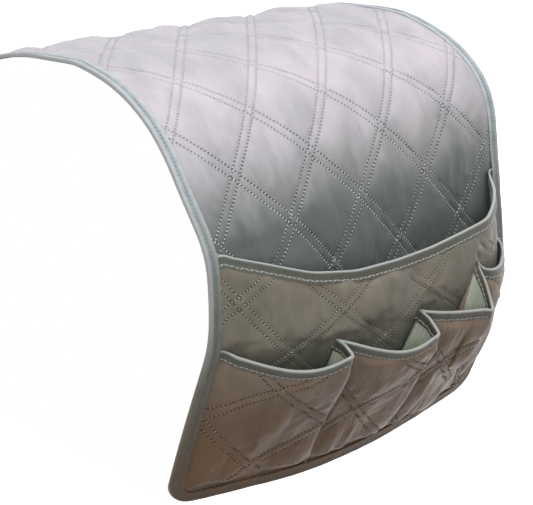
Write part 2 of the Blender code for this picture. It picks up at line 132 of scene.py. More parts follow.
# The magazine pocket
MAGAZINE_MOUTH = 237 * MM
MAGAZINE_DEPTH = 32 * MM
MAGAZINE_SAG = 34 * MM
MAGAZINE_SIDE_SHARE = 0.03
MAGAZINE_EASE = 0.035
MAGAZINE_ACROSS_SHARES = (0, 0.11, 0.24, 0.37, 0.5, 0.63, 0.76, 0.87, 0.95, 1)
MAGAZINE_DEPTH_SHARES = (0, 0.28, 0.56, 0.78, 0.91, 0.97, 1, 0.92, 0.55, 0)
MAGAZINE_SAG_SHARES = (0, 0.35, 0.78, 0.98, 1, 0.97, 0.86, 0.8, 0.5, 0)

# The remote pockets
REMOTE_MOUTH = 305 * MM
POCKET_SEAMS = (-60 * MM, 24 * MM, 90 * MM)
POCKET_DEPTHS = (24.5 * MM, 26.5 * MM, 26 * MM, 8 * MM)
POCKET_DROOPS = (26 * MM, 25 * MM, 2 * MM, 16 * MM)
SEAM_LIFTS = (-5 * MM, 4 * MM, 10 * MM, 38 * MM)
CORNER_LIFTS = (0, 0, -6 * MM, 13.5 * MM)
# How steeply each seam leans to the left below its mouth, and over what length
SEAM_SLANTS = (0.3, 0.55, 0.8)
SLANT_LENGTH = 45 * MM
SLANT_POWER = 1.3
SLANT_END = 3 * MM
# Where relief has room, as the start of a ramp and its reach: by how far a pocket stands off,
# and on the magazine pocket above the remote pockets' mouth, beside their seams and below
COVER_ROOM = (5 * MM, 9 * MM)
PANEL_ROOM = (0, 10 * MM)
STRIP_ROOM = (0, 9 * MM)
ROOM_ABOVE = (1 * MM, 9 * MM)
ROOM_BESIDE = (13 * MM, 16 * MM)
ROOM_BELOW = (REMOTE_MOUTH, 70 * MM)
ROOM_SHARE = 0.8
COVER_FLAT = 6 * MM
# Just right of each seam the next pocket's cloth is pressed to a share of its thickness
THIN_SHARE = 0.12
THIN_REACH = 5 * MM
# How far the folds swing to the right by the hem, and how far beside a seam that reaches
FOLD_DRIFT = 10 * MM
FOLD_DRIFT_REACH = 30 * MM
# Extra length of the strip that its folded sides take up
TIP_RETURN = 7 * MM
TIP_ROUND = 4 * MM
GUSSET_LEAN = 2 * MM
# How early each mouth opens out, and where along it the droop lies: the lower, the further left
OPENING_POWERS = (0.78, 0.5, 0.62, 0.45)
DROOP_POWERS = (1.15, 1.35, 1.0, 0.35)
TIP_ROUND_SHARE = 0.9
SEAM_INSET = 0.3 * MM
STRIP_MARGIN = 4 * MM
MOUTH_POINTS = 40
TACK_THREADS = 3
TACK_RISE = 7 * MM
TACK_LENGTH = 3.4 * MM
TACK_RADIUS = 0.55 * MM
GUSSET_MIDDLE_SHARE = 0.45

# Stitches along the tapes: their pitch, length and radius
EDGE_STITCH = (3.3 * MM, 2.3 * MM, 0.38 * MM)
RIM_STITCH = (4.1 * MM, 3.5 * MM, 0.55 * MM)
EDGE_STITCH_SINK = 0.35 * MM
RIM_STITCH_SHARE = 0.74
RIM_STITCH_SLANT = 0.22
RIM_STITCH_MARGIN = 3 * MM

# The studio
FLOOR_LEVEL = -620 * MM
FLOOR_REACH = 30
FLOOR_GLOW = 0.62
SUPPORT_REACH = 164 * MM
SUPPORT_GAP = 1.4 * MM
SKY_STOPS = ((0.0, (0.16, 0.12, 0.09)), (0.48, (0.16, 0.14, 0.12)), (0.55, (0.28, 0.28, 0.28)),
             (0.72, (0.7, 0.69, 0.72)), (1.0, (0.9, 0.88, 0.92)))
# Soft lamps: name, place, what they face, size, watts and colour
SOFTBOXES = (("key", (0.3, -1.45, 1.85), (0, 0, -0.1), (1.8, 1.8), 23.5, (1, 0.99, 1)),
             ("fill", (-1.6, -1.3, 0.5), (0, -0.1, -0.2), (1.2, 1.2), 10, (0.96, 1, 1)))
# Degrees round, down and of tilt, and the focal length in pixels of the photograph's width
CAMERA_ANGLES = (39.5, 16.7, -3)
CAMERA_PLACE = (-0.771, -0.981, 0.1807)
FOCAL_PIXELS, PHOTO_PIXELS = 1500, 533
SENSOR_WIDTH = 36

HALF_WIDTH = COVER_WIDTH / 2
EDGE_ROOM = TAPE_THICKNESS + CLEAR
CLOTH_EDGE = HALF_WIDTH - EDGE_ROOM
TAPE_LINE = HALF_WIDTH - TAPE_WIDTH - CLEAR
FRONT_CLOTH = FRONT_LENGTH - EDGE_ROOM
BACK_CLOTH = EDGE_ROOM - BACK_LENGTH
FRONT_LINE = FRONT_LENGTH - TAPE_WIDTH - CLEAR
QUILT_UNDER = BACKING_THICKNESS + CLEAR
COVER_TOP = QUILT_UNDER + QUILT_THICKNESS
TAPE_TOP = COVER_TOP + CLEAR + TAPE_THICKNESS
RIM_ROOM = CLEAR + RIM_TAPE_THICKNESS
POCKET_TOP = LINING_THICKNESS + CLEAR + POCKET_QUILT_THICKNESS
PANEL_BASE = COVER_TOP + CLEAR + RIM_ROOM
STRIP_BASE = POCKET_TOP + CLEAR + RIM_ROOM + SEAM_ROOM
PANEL_TAPE_TOP = PANEL_BASE + POCKET_TOP + RIM_ROOM + CLEAR + TAPE_THICKNESS
STRIP_TAPE_TOP = PANEL_TAPE_TOP + STRIP_BASE
ALL_SEAMS = (-TAPE_LINE,) + POCKET_SEAMS + (TAPE_LINE,)


def ramped(value, start, reach):
    """From 0 at start to 1 at start + reach."""
    return np.clip((value - start) / reach, 0, 1)


def belly(x, share):
    """Angle by which the middle of the lower front hangs straighter than its edges."""
    across = np.clip(x / HALF_WIDTH, -1, 1)
    amount = np.interp(share, (BELLY_START_SHARE, BELLY_FULL_SHARE), (0, radians(BELLY_ANGLE)))
    return amount * (1 - across ** 2) * (1 - BELLY_SKEW_SHARE * across)


def arcs(x, distance, length, shares, left, right, bellied):
    """Out, down and angle of a hanging half, added up arc by arc."""
    weight = x / COVER_WIDTH + 0.5
    turns = [np.radians(a + (b - a) * weight) - (belly(x, share) if bellied else 0)
             for share, a, b in zip(shares, left, right)]
    out = down = angle = np.zeros_like(distance)
    for k in range(len(shares) - 1):
        start, run = shares[k] * length, (shares[k + 1] - shares[k]) * length
        part = np.clip(distance - start, 0, run if k < len(shares) - 2 else None)
        end = turns[k] + (turns[k + 1] - turns[k]) * part / run
        middle, bend = (turns[k] + end) / 2, (end - turns[k]) / 2
        chord = part * np.sinc(bend / pi)
        out = out + chord * np.cos(middle)
        down = down + chord * np.sin(middle)
        angle = np.where(part > 0, end, angle)
    return out, down, angle


def cover_point(x, s, lift):
    """Points lifted off the cover's underside, for arrays of x and s."""
    x, s, lift = np.broadcast_arrays(*(np.asarray(v, float) for v in (x, s, lift)))
    corner = (1 - ramped(x, -HALF_WIDTH, CORNER_DROP_REACH)) ** 2
    low = ramped(s, CORNER_DROP_START, FRONT_LENGTH - CORNER_DROP_START)
    front = arcs(x, np.maximum(s, 0) + CORNER_DROP * corner * low, FRONT_LENGTH,
                 FRONT_HANG_SHARES, FRONT_LEFT_ANGLES, FRONT_RIGHT_ANGLES, True)
    back = arcs(x, np.maximum(-s, 0), BACK_LENGTH, BACK_HANG_SHARES, BACK_LEFT_ANGLES,
                BACK_RIGHT_ANGLES, False)
    y = np.where(s >= 0, -front[0], back[0])
    z = -np.where(s >= 0, front[1], back[1])
    angle = np.where(s >= 0, front[2], -back[2])
    rise = lift - TAPE_TOP
    return np.stack([x, y - rise * np.sin(angle), TAPE_TOP + z + rise * np.cos(angle)], -1)


def eased(value, places, amounts, reach):
    """Read amounts off a line drawn through places, with its corners rounded."""
    total = weights = 0
    for tap in np.linspace(-1, 1, 9):
        weight = 1 - tap * tap * 0.9
        total = total + weight * np.interp(value + reach * tap, places, amounts)
        weights += weight
    return total / weights


def pressed(x, s):
    """Share of their height over the cover that the pockets' layers keep."""
    inside = np.minimum(TAPE_LINE - np.abs(x), FRONT_LINE - s)
    return EDGE_PRESS + (1 - EDGE_PRESS) * ramped(inside, 0, EDGE_PRESS_REACH)


def magazine_bulge(x, s):
    """How far what the magazine pocket holds pushes its front out and down."""
    share = (x + TAPE_LINE) / (2 * TAPE_LINE)
    down = ramped(s, MAGAZINE_MOUTH, FRONT_LINE - MAGAZINE_MOUTH)
    side = ramped(np.minimum(share, 1 - share), 0, MAGAZINE_SIDE_SHARE)
    fade = np.cos(pi / 2 * down) * side
    bulge, drop = (eased(share, MAGAZINE_ACROSS_SHARES, amounts, MAGAZINE_EASE)
                   for amounts in (MAGAZINE_DEPTH_SHARES, MAGAZINE_SAG_SHARES))
    return MAGAZINE_DEPTH * fade * bulge, MAGAZINE_SAG * fade * (1 - down) * drop


def magazine_point(x, s):
    """The magazine pocket's innermost face."""
    out, sag = magazine_bulge(x, s)
    lift = COVER_TOP + (PANEL_BASE - COVER_TOP) * pressed(x, s)
    return cover_point(x, s, lift) + np.stack([np.zeros_like(out), -out, -sag], -1)


def rounded_width(x, s):
    """Draw a column in near a hem, where the cloth's corners are rounded."""
    radius = CORNER_RADIUS - EDGE_ROOM
    end = np.minimum(np.minimum(FRONT_CLOTH - s, s - BACK_CLOTH), radius)
    edge = CLOTH_EDGE - radius + np.sqrt(np.maximum(0, radius ** 2 - (radius - end) ** 2))
    inner = CLOTH_EDGE - 2 * radius - TAPE_WIDTH
    moved = inner + (np.abs(x) - inner) * (edge - inner) / (CLOTH_EDGE - inner)
    return np.where(np.abs(x) <= inner, x, np.sign(x) * moved)


def unit(vectors):
    return vectors / np.maximum(np.linalg.norm(vectors, axis=-1, keepdims=True), 1e-12)


def normals(points):
    """Outward unit normals of a grid of points, columns first."""
    across = np.gradient(points, axis=0)
    along = np.gradient(points, axis=1)
    return unit(np.cross(across, -along))


def strip_back(x, s):
    """The surface just over the magazine pocket, which the remote pockets are sewn to."""
    step = 0.5 * MM
    inner = np.abs(x) < TAPE_LINE - step
    across = magazine_point(x + step, s) - magazine_point(x - step, s)
    across = np.where(inner[..., None], across, (1.0, 0, 0))
    along = magazine_point(x, s + step) - magazine_point(x, s - step)
    lift = STRIP_BASE * pressed(x, s)[..., None]
    return magazine_point(x, s) + unit(np.cross(across, -along)) * lift


def noise(u, v, seed):
    """Smooth random heights between -1 and 1, one cell per unit."""
    table = np.random.default_rng(seed).uniform(-1, 1, (NOISE_CELLS, NOISE_CELLS))
    i, j = np.floor(u).astype(int), np.floor(v).astype(int)
    fu, fv = u - i, v - j
    fu, fv = fu * fu * (3 - 2 * fu), fv * fv * (3 - 2 * fv)
    corner = [[table[(i + a) % NOISE_CELLS, (j + b) % NOISE_CELLS] for b in (0, 1)]
              for a in (0, 1)]
    low = corner[0][0] + (corner[1][0] - corner[0][0]) * fu
    high = corner[0][1] + (corner[1][1] - corner[0][1]) * fu
    return low + (high - low) * fv


def folds(x, s, shape, seed):
    width, lean, length, height = shape
    return noise(x / width + s / lean, s / length, seed) * height


def quilting(x, s, diamonds, crown, seed):
    """Height of the quilted cloth: pillows between double rows of spot welds, with a ridge
    between the two rows and puckers that run off them."""
    width, length, cross_x, cross_s, skew = diamonds
    u, v = (x - cross_x) / width, (s - cross_s + skew * x) / length
    apart = 1 / sqrt(1 / width ** 2 + 1 / length ** 2)
    height = crown
    ridge = groove = pucker = 0
    for a, t, n in ((u + v, -(x - cross_x) / length + (s - cross_s) / width, 1),
                    (u - v, (x - cross_x) / length + (s - cross_s) / width, 2)):
        away = np.abs(a - np.round(a)) * apart
        beyond = np.maximum(away - ROW_APART / 2, 0)
        rise = np.minimum(beyond / (apart / 2 - ROW_APART / 2), 1)
        height = height * np.sin(pi / 2 * rise) ** PILLOW_POWER
        ridge = ridge + np.maximum(0, 1 - (2 * away / ROW_APART) ** 2) * RIDGE_HEIGHT
        groove = groove + GROOVE_DEPTH * np.exp(-((away - ROW_APART / 2) / GROOVE_WIDTH) ** 2)
        line = np.round(a) * 7.3 + n * 31
        fade = np.exp(-beyond / PUCKER_REACH) * np.minimum(beyond / PUCKER_START, 1)
        pucker = pucker + PUCKER_HEIGHT * fade * noise(t * apart / PUCKER_PITCH, line + 0 * t,
                                                       seed + n)
    loose = folds(x, s, LONG_FOLDS, seed + 5) + folds(x, s, FINE_FOLDS, seed + 6)
    return height + ridge - groove + pucker + loose * height / crown


def tape_height(s):
    """Top of the edge tape, raised where it also wraps the pockets' cloth."""
    places = [mouth - step for mouth in (MAGAZINE_MOUTH, REMOTE_MOUTH)
              for step in (TAPE_RISE, RIM_TAPE_WIDTH - TAPE_RISE + CLEAR)]
    panel, strip = (TAPE_TOP + (top - TAPE_TOP) * EDGE_PRESS
                    for top in (PANEL_TAPE_TOP, STRIP_TAPE_TOP))
    return np.interp(s, places, (TAPE_TOP, panel, panel, strip))


def new_object(name, points, faces, material):
    mesh = bpy.data.meshes.new(name)
    mesh.from_pydata(points.reshape(-1, 3).tolist(), [], faces)
    mesh.materials.append(material)
    obj = bpy.data.objects.new(name, mesh)
    bpy.context.scene.collection.objects.link(obj)
    return obj


def add_piece(name, points, faces, material):
    """A smooth visible piece of the organizer."""
    obj = new_object(name, points, faces, material)
    obj.data.polygons.foreach_set("use_smooth", np.ones(len(faces), bool))
    obj.data.update()
    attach(obj, "root")
    return obj


def add_mesh(name, points, faces, cloth, material):
    """A piece with its flat cloth places, in metres, as its UV map."""
    obj = add_piece(name, points, faces.tolist(), material)
    layer = obj.data.uv_layers.new(name="cloth")
    corners = np.empty(len(obj.data.loops), np.int32)
    obj.data.loops.foreach_get("vertex_index", corners)
    layer.data.foreach_set("uv", cloth.reshape(-1, 2)[corners].astype(np.float32).ravel())
    return obj


def grid_faces(columns, rows, around=False, flipped=False):
    """Quads of a grid whose points lie column by column."""
    i, j = np.meshgrid(np.arange(columns - 1), np.arange(rows if around else rows - 1),
                       indexing="ij")
    k = (j + 1) % rows
    quads = np.stack([i * rows + j, (i + 1) * rows + j, (i + 1) * rows + k, i * rows + k], -1)
    quads = quads.reshape(-1, 4)
    return quads if flipped else quads[:, ::-1]


def add_cloth(name, points, places, material, flipped=False):
    faces = grid_faces(*points.shape[:2], flipped=flipped)
    return add_mesh(name, points, faces, places, material)


def add_tape(name, sections, places, material, closed=False):
    """Loft a folded tape through its sections. Each is a closed ring of points."""
    if closed:
        sections = np.concatenate([sections, sections[:1]])
        places = np.concatenate([places, places[:1]])
    faces = grid_faces(*sections.shape[:2], around=True)
    return add_mesh(name, sections, faces, places, material)


def fold_profile(width, low, high, thickness):
    """Ring round a folded tape: distance in from its fold, and height. Its face dips along
    the stitched middle and its fold is round."""
    ring = []
    middle = (high + low) / 2
    for share, dip in ((1, 0.5), (0.97, 0.05), (0.8, 0), (0.62, 0.25), (0.5, 0.65), (0.38, 0.25),
                       (0.22, -0.25), (0.1, -0.2)):
        ring.append((width * share, high - dip * thickness * 0.7))
    for step in range(1, 6):
        angle = pi * step / 6
        ring.append((width * 0.06 * (1 - sin(angle)), middle + (high - middle) * cos(angle)))
    for share in (0.1, 0.4, 0.7, 0.97):
        ring.append((width * share, low))
    ring += [(width, low + thickness), (thickness * 1.5, low + thickness),
             (thickness * 1.5, high - thickness), (width, high - thickness)]
    return ring


def add_stitches(name, points, along, up, length, radius, material):
    """Short rounded threads, one at each point, lying along the seam."""
    rings, sides = 5, 6
    shape = []
    for k in range(rings):
        angle = pi * (k + 0.5) / rings
        for m in range(sides):
            turn = 2 * pi * m / sides
            shape.append((-cos(angle) * length / 2, sin(angle) ** 0.6 * cos(turn) * radius,
                          sin(angle) ** 0.6 * sin(turn) * radius))
    shape = np.array(shape)
    along, up = unit(along), unit(up)
    side = unit(np.cross(up, along))
    up = np.cross(along, side)
    verts = (points[:, None] + shape[None, :, :1] * along[:, None]
             + shape[None, :, 1:2] * side[:, None] + shape[None, :, 2:] * up[:, None])
    faces = grid_faces(rings, sides, around=True)
    count = rings * sides
    every = (faces[None] + np.arange(len(points))[:, None, None] * count).reshape(-1, 4)
    caps = []
    for k in range(len(points)):
        base = k * count
        caps.append([base + m for m in range(sides)])
        caps.append([base + count - 1 - m for m in range(sides)])
    return add_piece(name, verts, every.tolist() + caps, material)


def linear(color):
    """Scene colour of an sRGB colour whose parts run from 0 to 255."""
    return tuple(((part / 255 + 0.055) / 1.055) ** 2.4 for part in color) + (1.0,)


class Look:
    """Node helper for one material."""

    def __init__(self, name, sheen, sheen_roughness, specular):
        self.material = bpy.data.materials.new(name)
        self.material.use_nodes = True
        self.tree = self.material.node_tree
        self.shader = self.tree.nodes["Principled BSDF"]
        self.shader.inputs["Sheen Weight"].default_value = sheen
        self.shader.inputs["Sheen Roughness"].default_value = sheen_roughness
        self.shader.inputs["Specular IOR Level"].default_value = specular
        self.place = self.node("ShaderNodeTexCoord").outputs["Object"]
        height = self.node("ShaderNodeSeparateXYZ")
        self.link(self.place, height.inputs[0])
        self.rise = height.outputs["Z"]

    def node(self, kind):
        return self.tree.nodes.new(kind)

    def link(self, start, end):
        self.tree.links.new(start, end)

    def feed(self, value, socket):
        if isinstance(value, bpy.types.NodeSocket):
            self.link(value, socket)
        else:
            socket.default_value = value

    def math(self, operation, first, second=0.0, third=0.0):
        node = self.node("ShaderNodeMath")
        node.operation = operation
        for value, socket in zip((first, second, third), node.inputs):
            self.feed(value, socket)
        return node.outputs[0]

    def ramp(self, value, low, high, start=0.0, end=1.0, kind="SMOOTHSTEP"):
        node = self.node("ShaderNodeMapRange")
        node.interpolation_type = kind
        for item, socket in zip((value, low, high, start, end), node.inputs):
            self.feed(item, socket)
        return node.outputs["Result"]

    def mix(self, share, first, second, blend="MIX"):
        node = self.node("ShaderNodeMix")
        node.data_type, node.blend_type = "RGBA", blend
        for value, socket in zip((share, first, second), ("Factor", "A", "B")):
            self.feed(value, node.inputs[socket])
        return node.outputs["Result"]

    def tint(self, share, base, color):
        """Multiply a colour by an sRGB colour, by a share."""
        return self.mix(share, base, linear(color), "MULTIPLY")

    def relief(self, *layers):
        """Sum of textures, each raised by its own height."""
        height = 0.0
        for texture, amount in layers:
            height = self.math("MULTIPLY_ADD", texture, amount, height)
        return height

    def finish(self, color, height, roughness):
        self.feed(color, self.shader.inputs["Base Color"])
        self.feed(roughness, self.shader.inputs["Roughness"])
        bump = self.node("ShaderNodeBump")
        bump.inputs["Strength"].default_value = 1.0
        bump.inputs["Distance"].default_value = 1.0
        self.link(height, bump.inputs["Height"])
        self.link(bump.outputs[0], self.shader.inputs["Normal"])
        return self.material


class Cloth(Look):
    """Material placed by the cloth's flat UV map: x across, s along."""

    def __init__(self, name, sheen, specular):
        super().__init__(name, sheen, 0.4, specular)
        uv = self.node("ShaderNodeUVMap")
        uv.uv_map = "cloth"
        split = self.node("ShaderNodeSeparateXYZ")
        self.link(uv.outputs["UV"], split.inputs[0])
        self.x, self.s = split.outputs["X"], split.outputs["Y"]

    def sway(self, across, along, amount):
        """Let tones that change with height reach up and down, by patches of the cloth."""
        shift = self.math("SUBTRACT", self.noise(across, along, 2.0, 17.0), 0.5)
        self.rise = self.math("ADD", self.rise, self.math("MULTIPLY", shift, amount))

    def graded(self, stops):
        """Colour that changes with height, through pairs of height in mm and sRGB colour."""
        base = linear(stops[0][1])
        for (high, _), (low, color) in zip(stops, stops[1:]):
            base = self.mix(self.ramp(self.rise, high * MM, low * MM), base, linear(color))
        return base

    def noise(self, across, along, detail=2.0, seed=0.0):
        """Noise with cells of a given size, in metres, across and along the cloth."""
        place = self.node("ShaderNodeCombineXYZ")
        self.link(self.math("DIVIDE", self.x, across), place.inputs[0])
        self.link(self.math("DIVIDE", self.s, along), place.inputs[1])
        place.inputs[2].default_value = seed
        node = self.node("ShaderNodeTexNoise")
        node.inputs["Scale"].default_value = 1.0
        node.inputs["Detail"].default_value = detail
        self.link(place.outputs[0], node.inputs["Vector"])
        return node.outputs["Fac"]

    def weave(self, pitch):
        """Threads crossing over and under, as a height."""
        waves = [self.math("SINE", self.math("MULTIPLY", axis, 2 * pi / pitch))
                 for axis in (self.x, self.s)]
        return self.math("MULTIPLY", waves[0], waves[1])

    def dots(self, diamonds):
        """Masks of the double stitch rows: the pits between stitches, and the stitches."""
        width, length, cross_x, cross_s, skew = diamonds
        m = self.math
        x = m("SUBTRACT", self.x, cross_x)
        s = m("ADD", m("SUBTRACT", self.s, cross_s), m("MULTIPLY", self.x, skew))
        apart = 1 / sqrt(1 / width ** 2 + 1 / length ** 2)
        pits = beads = None
        for sign in (1, -1):
            a = m("ADD", m("DIVIDE", x, width), m("DIVIDE", s, sign * length))
            t = m("MULTIPLY", m("ADD", m("DIVIDE", x, -sign * length), m("DIVIDE", s, width)),
                  apart)
            off = m("SUBTRACT", m("FRACT", m("ADD", a, 0.5)), 0.5)
            row = m("SUBTRACT", m("MULTIPLY", m("ABSOLUTE", off), apart), ROW_APART / 2)
            turn = m("SUBTRACT", m("FRACT", m("DIVIDE", t, DOT_PITCH)), 0.5)
            step = m("MULTIPLY", m("ABSOLUTE", turn), DOT_PITCH)
            rest = m("SUBTRACT", DOT_PITCH / 2, step)
            pit, bead = (m("SQRT", m("ADD", m("MULTIPLY", row, row), m("MULTIPLY", run, run)))
                         for run in (step, rest))
            pits = pit if pits is None else m("MINIMUM", pits, pit)
            beads = bead if beads is None else m("MINIMUM", beads, bead)
        return (self.ramp(pits, DOT_RADIUS * 1.25, DOT_RADIUS * 0.5),
                self.ramp(beads, DOT_RADIUS * 1.15, DOT_RADIUS * 0.4))


def quilted_cloth(name, stops, sheen_patch_color, crease_shade_color, pit_shadow_color, bead_highlight_color, diamonds,
                  roughness, sheen, specular, faint):
    """Satin polyester with double rows of quilting stitches. stops give its tone by height, as
    painted highlight and painted shade, and faint the two heights between which the painted shade
    of its rows' pits, the painted highlight of their stitches and its painted crease shade go from
    faint to strong."""
    cloth = Cloth(name, sheen, specular)
    # Tone by height is painted light, lighter above and darker lower down; the sway lets it wander
    # in patches.
    cloth.sway(24 * MM, 48 * MM, 34 * MM)
    base = cloth.graded(stops)
    # Random patches that tint the tone: painted satin sheen, uneven over the cloth.
    patch = cloth.ramp(cloth.noise(30 * MM, 56 * MM, 3.0), 0.35, 0.65)
    base = cloth.tint(patch, base, sheen_patch_color)
    # Painted crease shade: thin streaks darken the cloth, more strongly lower down.
    painted_crease_mask = cloth.ramp(cloth.noise(8 * MM, 34 * MM, 1.5, 23.0), 0.5, 0.72)
    crease_shade_strength = cloth.ramp(cloth.rise, faint[0], faint[1] - 40 * MM, 0.03, 0.3)
    base = cloth.tint(cloth.math("MULTIPLY", painted_crease_mask, crease_shade_strength), base, crease_shade_color)
    pit, bead = cloth.dots(diamonds)
    # Painted shade in the pits between stitches, stronger lower down.
    depth = cloth.ramp(cloth.rise, faint[0], faint[1], 0.08, 0.85)
    base = cloth.mix(cloth.math("MULTIPLY", pit, depth), base, linear(pit_shadow_color))
    # Painted highlight on the stitches between the pits.
    raised = cloth.ramp(cloth.rise, faint[0], faint[1], 0.7, 0.8)
    base = cloth.mix(cloth.math("MULTIPLY", bead, raised), base, linear(bead_highlight_color))
    creases = cloth.noise(3.2 * MM, 24 * MM, 3.0, 4.0)
    crumple = cloth.noise(7 * MM, 10 * MM, 2.0, 9.0)
    height = cloth.relief((creases, 0.75 * MM), (crumple, 0.6 * MM),
                          (cloth.weave(0.9 * MM), 0.012 * MM), (pit, -0.6 * MM),
                          (bead, 0.3 * MM))
    shine = cloth.ramp(cloth.noise(15 * MM, 30 * MM, 2.0, 2.0), 0.3, 0.7, roughness - 0.06,
                       roughness + 0.08)
    return cloth.finish(base, height, shine)


def tape_cloth(name, stops, fold_highlight_stops, middle_color, width, roughness, sheen):
    """Folded woven tape. stops give its tone by height, as painted shade lower down, and the fold's
    stops the tone of a painted highlight along its fold. It is darker along its stitched middle,
    with a fine weave."""
    cloth = Cloth(name, sheen, 0.3)
    base = cloth.graded(stops)
    middle = cloth.ramp(cloth.math("ABSOLUTE", cloth.math("SUBTRACT", cloth.x, width / 2)),
                        width * 0.4, width * 0.1)
    base = cloth.tint(middle, base, middle_color)
    patch = cloth.ramp(cloth.noise(9 * MM, 9 * MM, 3.0), 0.3, 0.7)
    base = cloth.tint(patch, base, (236, 236, 234))
    # Painted highlight along the rounded fold.
    fold = cloth.ramp(cloth.x, width * 0.24, width * 0.04)
    base = cloth.mix(cloth.math("MULTIPLY", fold, 0.75), base, cloth.graded(fold_highlight_stops))
    height = cloth.relief((cloth.weave(0.8 * MM), 0.03 * MM),
                          (cloth.noise(3 * MM, 3 * MM, 2.0, 3.0), 0.5 * MM))
    return cloth.finish(base, height, roughness)


def lining(name, colors, roughness):
    """Non-woven lining with fine pressed ribs."""
    cloth = Cloth(name, 0.1, 0.3)
    patch = cloth.ramp(cloth.noise(14 * MM, 20 * MM, 3.0), 0.3, 0.7)
    base = cloth.mix(patch, linear(colors[0]), linear(colors[1]))
    ribs = cloth.math("SINE", cloth.math("MULTIPLY", cloth.x, 2 * pi / (4.2 * MM)))
    fleece = cloth.noise(0.9 * MM, 0.9 * MM, 3.0, 6.0)
    return cloth.finish(base, cloth.relief((ribs, 0.22 * MM), (fleece, 0.25 * MM)), roughness)


def thread(name, color, shaded_low_color, heights):
    """Twisted thread whose tone goes from color to a darker low colour between two heights, as
    painted shade lower down.
    """
    look = Look(name, 0.3, 0.5, 0.5)
    texture = look.node("ShaderNodeTexNoise")
    texture.inputs["Scale"].default_value = 900
    look.link(look.place, texture.inputs["Vector"])
    twist = texture.outputs["Fac"]
    # Painted shade: the thread darkens lower down.
    lowered = look.ramp(look.rise, heights[0], heights[1], kind="LINEAR")
    tones = []
    for shade in (1.0, 0.6):
        high, low = (tuple(shade * part for part in linear(tone)[:3]) + (1.0,)
                     for tone in (color, shaded_low_color))
        tones.append(look.mix(lowered, high, low))
    return look.finish(look.mix(twist, *tones), look.relief((twist, 0.1 * MM)), 0.5)


# Painted light by height: a painted highlight just below the top, then painted shade darkening the
# cover towards the pockets.
COVER_SATIN = quilted_cloth(
    "cover_satin", ((-2, (203, 199, 204)), (-20, (216, 208, 213)), (-45, (202, 198, 202)),
                    (-128, (98, 106, 102))),
    sheen_patch_color=(238, 240, 240), crease_shade_color=(196, 204, 202), pit_shadow_color=(68, 72, 72),
    bead_highlight_color=(214, 216, 215), diamonds=COVER_DIAMONDS, roughness=0.44, sheen=0.22,
    specular=0.3, faint=(-8 * MM, -95 * MM))
# Painted shade: the panel grows darker lower down.
PANEL_SATIN = quilted_cloth(
    "panel_satin", ((-175, (132, 124, 109)), (-240, (102, 103, 93))),
    sheen_patch_color=(216, 226, 226), crease_shade_color=(206, 212, 214), pit_shadow_color=(78, 73, 64),
    bead_highlight_color=(180, 175, 163), diamonds=PANEL_DIAMONDS, roughness=0.4, sheen=0.2,
    specular=0.3, faint=(-100 * MM, -160 * MM))
# Painted shade and painted warm reflection: the pockets grow darker and browner lower down.
POCKET_SATIN = quilted_cloth(
    "pocket_satin", ((-205, (150, 132, 114)), (-290, (120, 92, 66))),
    sheen_patch_color=(222, 226, 230), crease_shade_color=(206, 210, 214), pit_shadow_color=(52, 42, 32),
    bead_highlight_color=(166, 148, 128), diamonds=STRIP_DIAMONDS, roughness=0.36, sheen=0.1,
    specular=0.15, faint=(-100 * MM, -200 * MM))
BACK_CLOTH_LOOK = lining("back_cloth", ((150, 150, 150), (132, 134, 134)), 0.8)
SAGE_LINING = lining("sage_lining", ((188, 194, 176), (170, 178, 158)), 0.75)
# Painted shade and painted warm reflection: darker and browner lower down, with a painted highlight
# along the fold.
EDGE_TAPE = tape_cloth(
    "edge_tape_cloth", ((-40, (208, 214, 217)), (-190, (120, 126, 118)), (-265, (93, 84, 68)),
                        (-310, (86, 62, 36))),
    fold_highlight_stops=((-150, (182, 187, 184)), (-240, (102, 94, 78)), (-310, (74, 58, 38))),
    middle_color=(214, 222, 222), width=SEWN_TAPE_WIDTH, roughness=0.5, sheen=0.12)
# Painted shade: darker lower down, with a painted highlight along the fold.
RIM_TAPE = tape_cloth(
    "rim_tape_cloth", ((-110, (110, 116, 108)), (-190, (92, 90, 80))),
    fold_highlight_stops=((-120, (208, 214, 210)), (-230, (186, 192, 186))),
    middle_color=(224, 222, 216), width=RIM_TAPE_WIDTH, roughness=0.42, sheen=0.2)
# Painted shade: both threads darken lower down, the grey one turning brown as painted warm
# reflection.
PALE_THREAD = thread("pale_thread", (196, 200, 192), (158, 154, 142), (-150 * MM, -230 * MM))
GREY_THREAD = thread("grey_thread", (105, 115, 118), (62, 52, 40), (-120 * MM, -260 * MM))


def spread(low, high, step):
    return np.linspace(low, high, int(round((high - low) / step)) + 1)


def cloth_grid(top, step):
    """Places across and along the cover's width of cloth, from a line down to the hem."""
    return np.meshgrid(spread(-CLOTH_EDGE, CLOTH_EDGE, step), spread(top, FRONT_CLOTH, step),
                       indexing="ij")


def edge_fade(x, s):
    """None under the edge tape, full a little inside it."""
    ends = np.minimum(FRONT_LINE - s, s + BACK_LENGTH - TAPE_WIDTH)
    return ramped(np.minimum(TAPE_LINE - np.abs(x), ends), 0, EDGE_PRESS_REACH) ** 0.7


